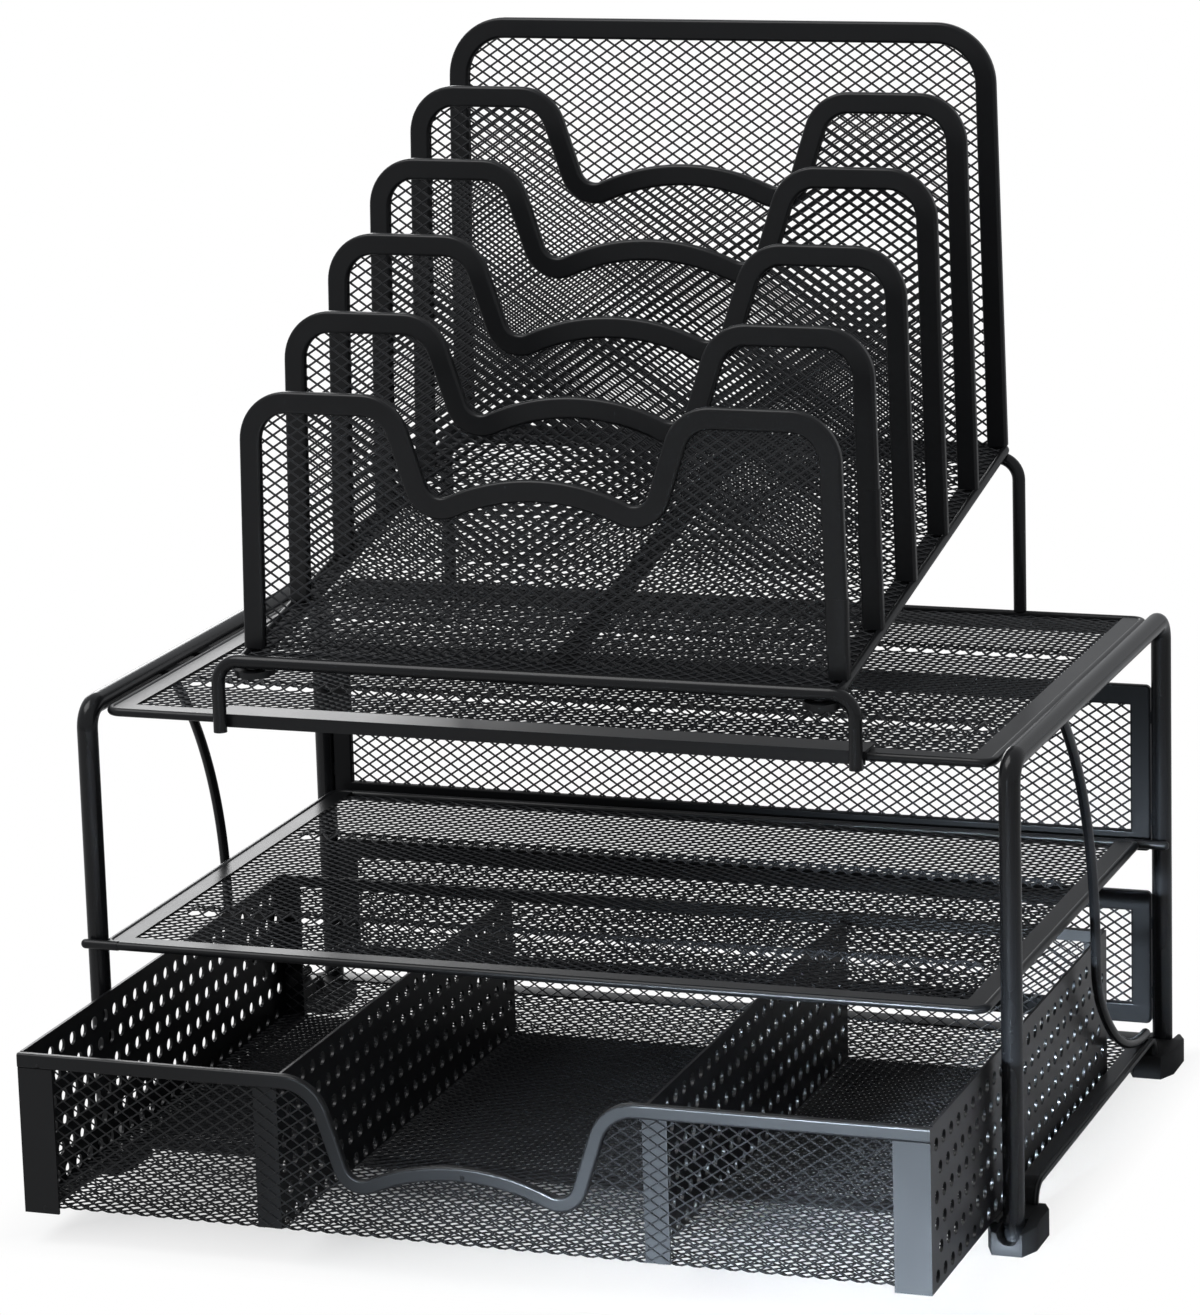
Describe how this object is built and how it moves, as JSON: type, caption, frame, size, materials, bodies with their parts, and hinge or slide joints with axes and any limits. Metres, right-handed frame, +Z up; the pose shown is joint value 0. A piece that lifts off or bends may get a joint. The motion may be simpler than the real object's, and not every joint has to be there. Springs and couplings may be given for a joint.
{
  "type": "desk organizer",
  "caption": "Black wire-mesh desk rack with two flat shelves, a pull-out compartment drawer at the bottom and an inclined upright file sorter on top.",
  "frame": {"origin": "bottom centre of the whole organiser's box, on the desk surface, with the drawer as it stands at rest", "axes": "+Z up, +Y towards the back, +X to the right seen from the front; the drawer pulls out towards -Y"},
  "size_m": [0.3446, 0.2988, 0.3809],
  "materials": {
    "tube": "satin black powder coat",
    "sheet_metal": "satin black powder coat",
    "mesh": "satin black powder coat",
    "wire": "satin black powder coat",
    "foot_plastic": "satin black plastic"
  },
  "bodies": {
    "rack": {"bow_brace_left": "wire", "bow_brace_right": "wire", "foot_front_left": "foot_plastic", "foot_front_right": "foot_plastic", "foot_rear_left": "foot_plastic", "foot_rear_right": "foot_plastic", "lower_back_frame": "sheet_metal", "lower_back_mesh": "mesh", "mid_shelf_laps": "wire", "mid_shelf_mesh": "mesh", "mid_shelf_rim": "sheet_metal", "side_frame_left": "tube", "side_frame_right": "tube", "sorter_back_frame": "sheet_metal", "sorter_back_mesh": "mesh", "sorter_base_mesh": "mesh", "sorter_base_rim": "sheet_metal", "sorter_base_strap": "sheet_metal", "sorter_crossbar": "sheet_metal", "sorter_divider_1_frame": "sheet_metal", "sorter_divider_1_mesh": "mesh", "sorter_divider_2_frame": "sheet_metal", "sorter_divider_2_mesh": "mesh", "sorter_divider_3_frame": "sheet_metal", "sorter_divider_3_mesh": "mesh", "sorter_divider_4_frame": "sheet_metal", "sorter_divider_4_mesh": "mesh", "sorter_divider_5_frame": "sheet_metal", "sorter_divider_5_mesh": "mesh", "sorter_front_wire": "wire", "sorter_lugs": "wire", "sorter_rear_wire": "wire", "top_shelf_mesh": "mesh", "top_shelf_rear_flange": "sheet_metal", "top_shelf_rim": "sheet_metal", "tray_front_strip": "sheet_metal", "tray_mesh": "mesh", "tray_rail_left": "sheet_metal", "tray_rail_right": "sheet_metal", "tray_rear_strip": "sheet_metal", "upper_back_frame": "sheet_metal", "upper_back_mesh": "mesh", "weld_tabs": "sheet_metal"},
    "drawer": {"drawer_back_rim": "sheet_metal", "drawer_front_rim": "sheet_metal", "drawer_mesh_back": "mesh", "drawer_mesh_floor": "mesh", "drawer_mesh_front": "mesh", "drawer_partition_left": "sheet_metal", "drawer_partition_right": "sheet_metal", "drawer_side_left": "sheet_metal", "drawer_side_right": "sheet_metal"}
  },
  "joints": [
    {"name": "drawer_slide", "type": "slide", "parent": "rack", "child": "drawer", "axis": [0, -1, 0], "range_m": [-0.058, 0.06]}
  ]
}
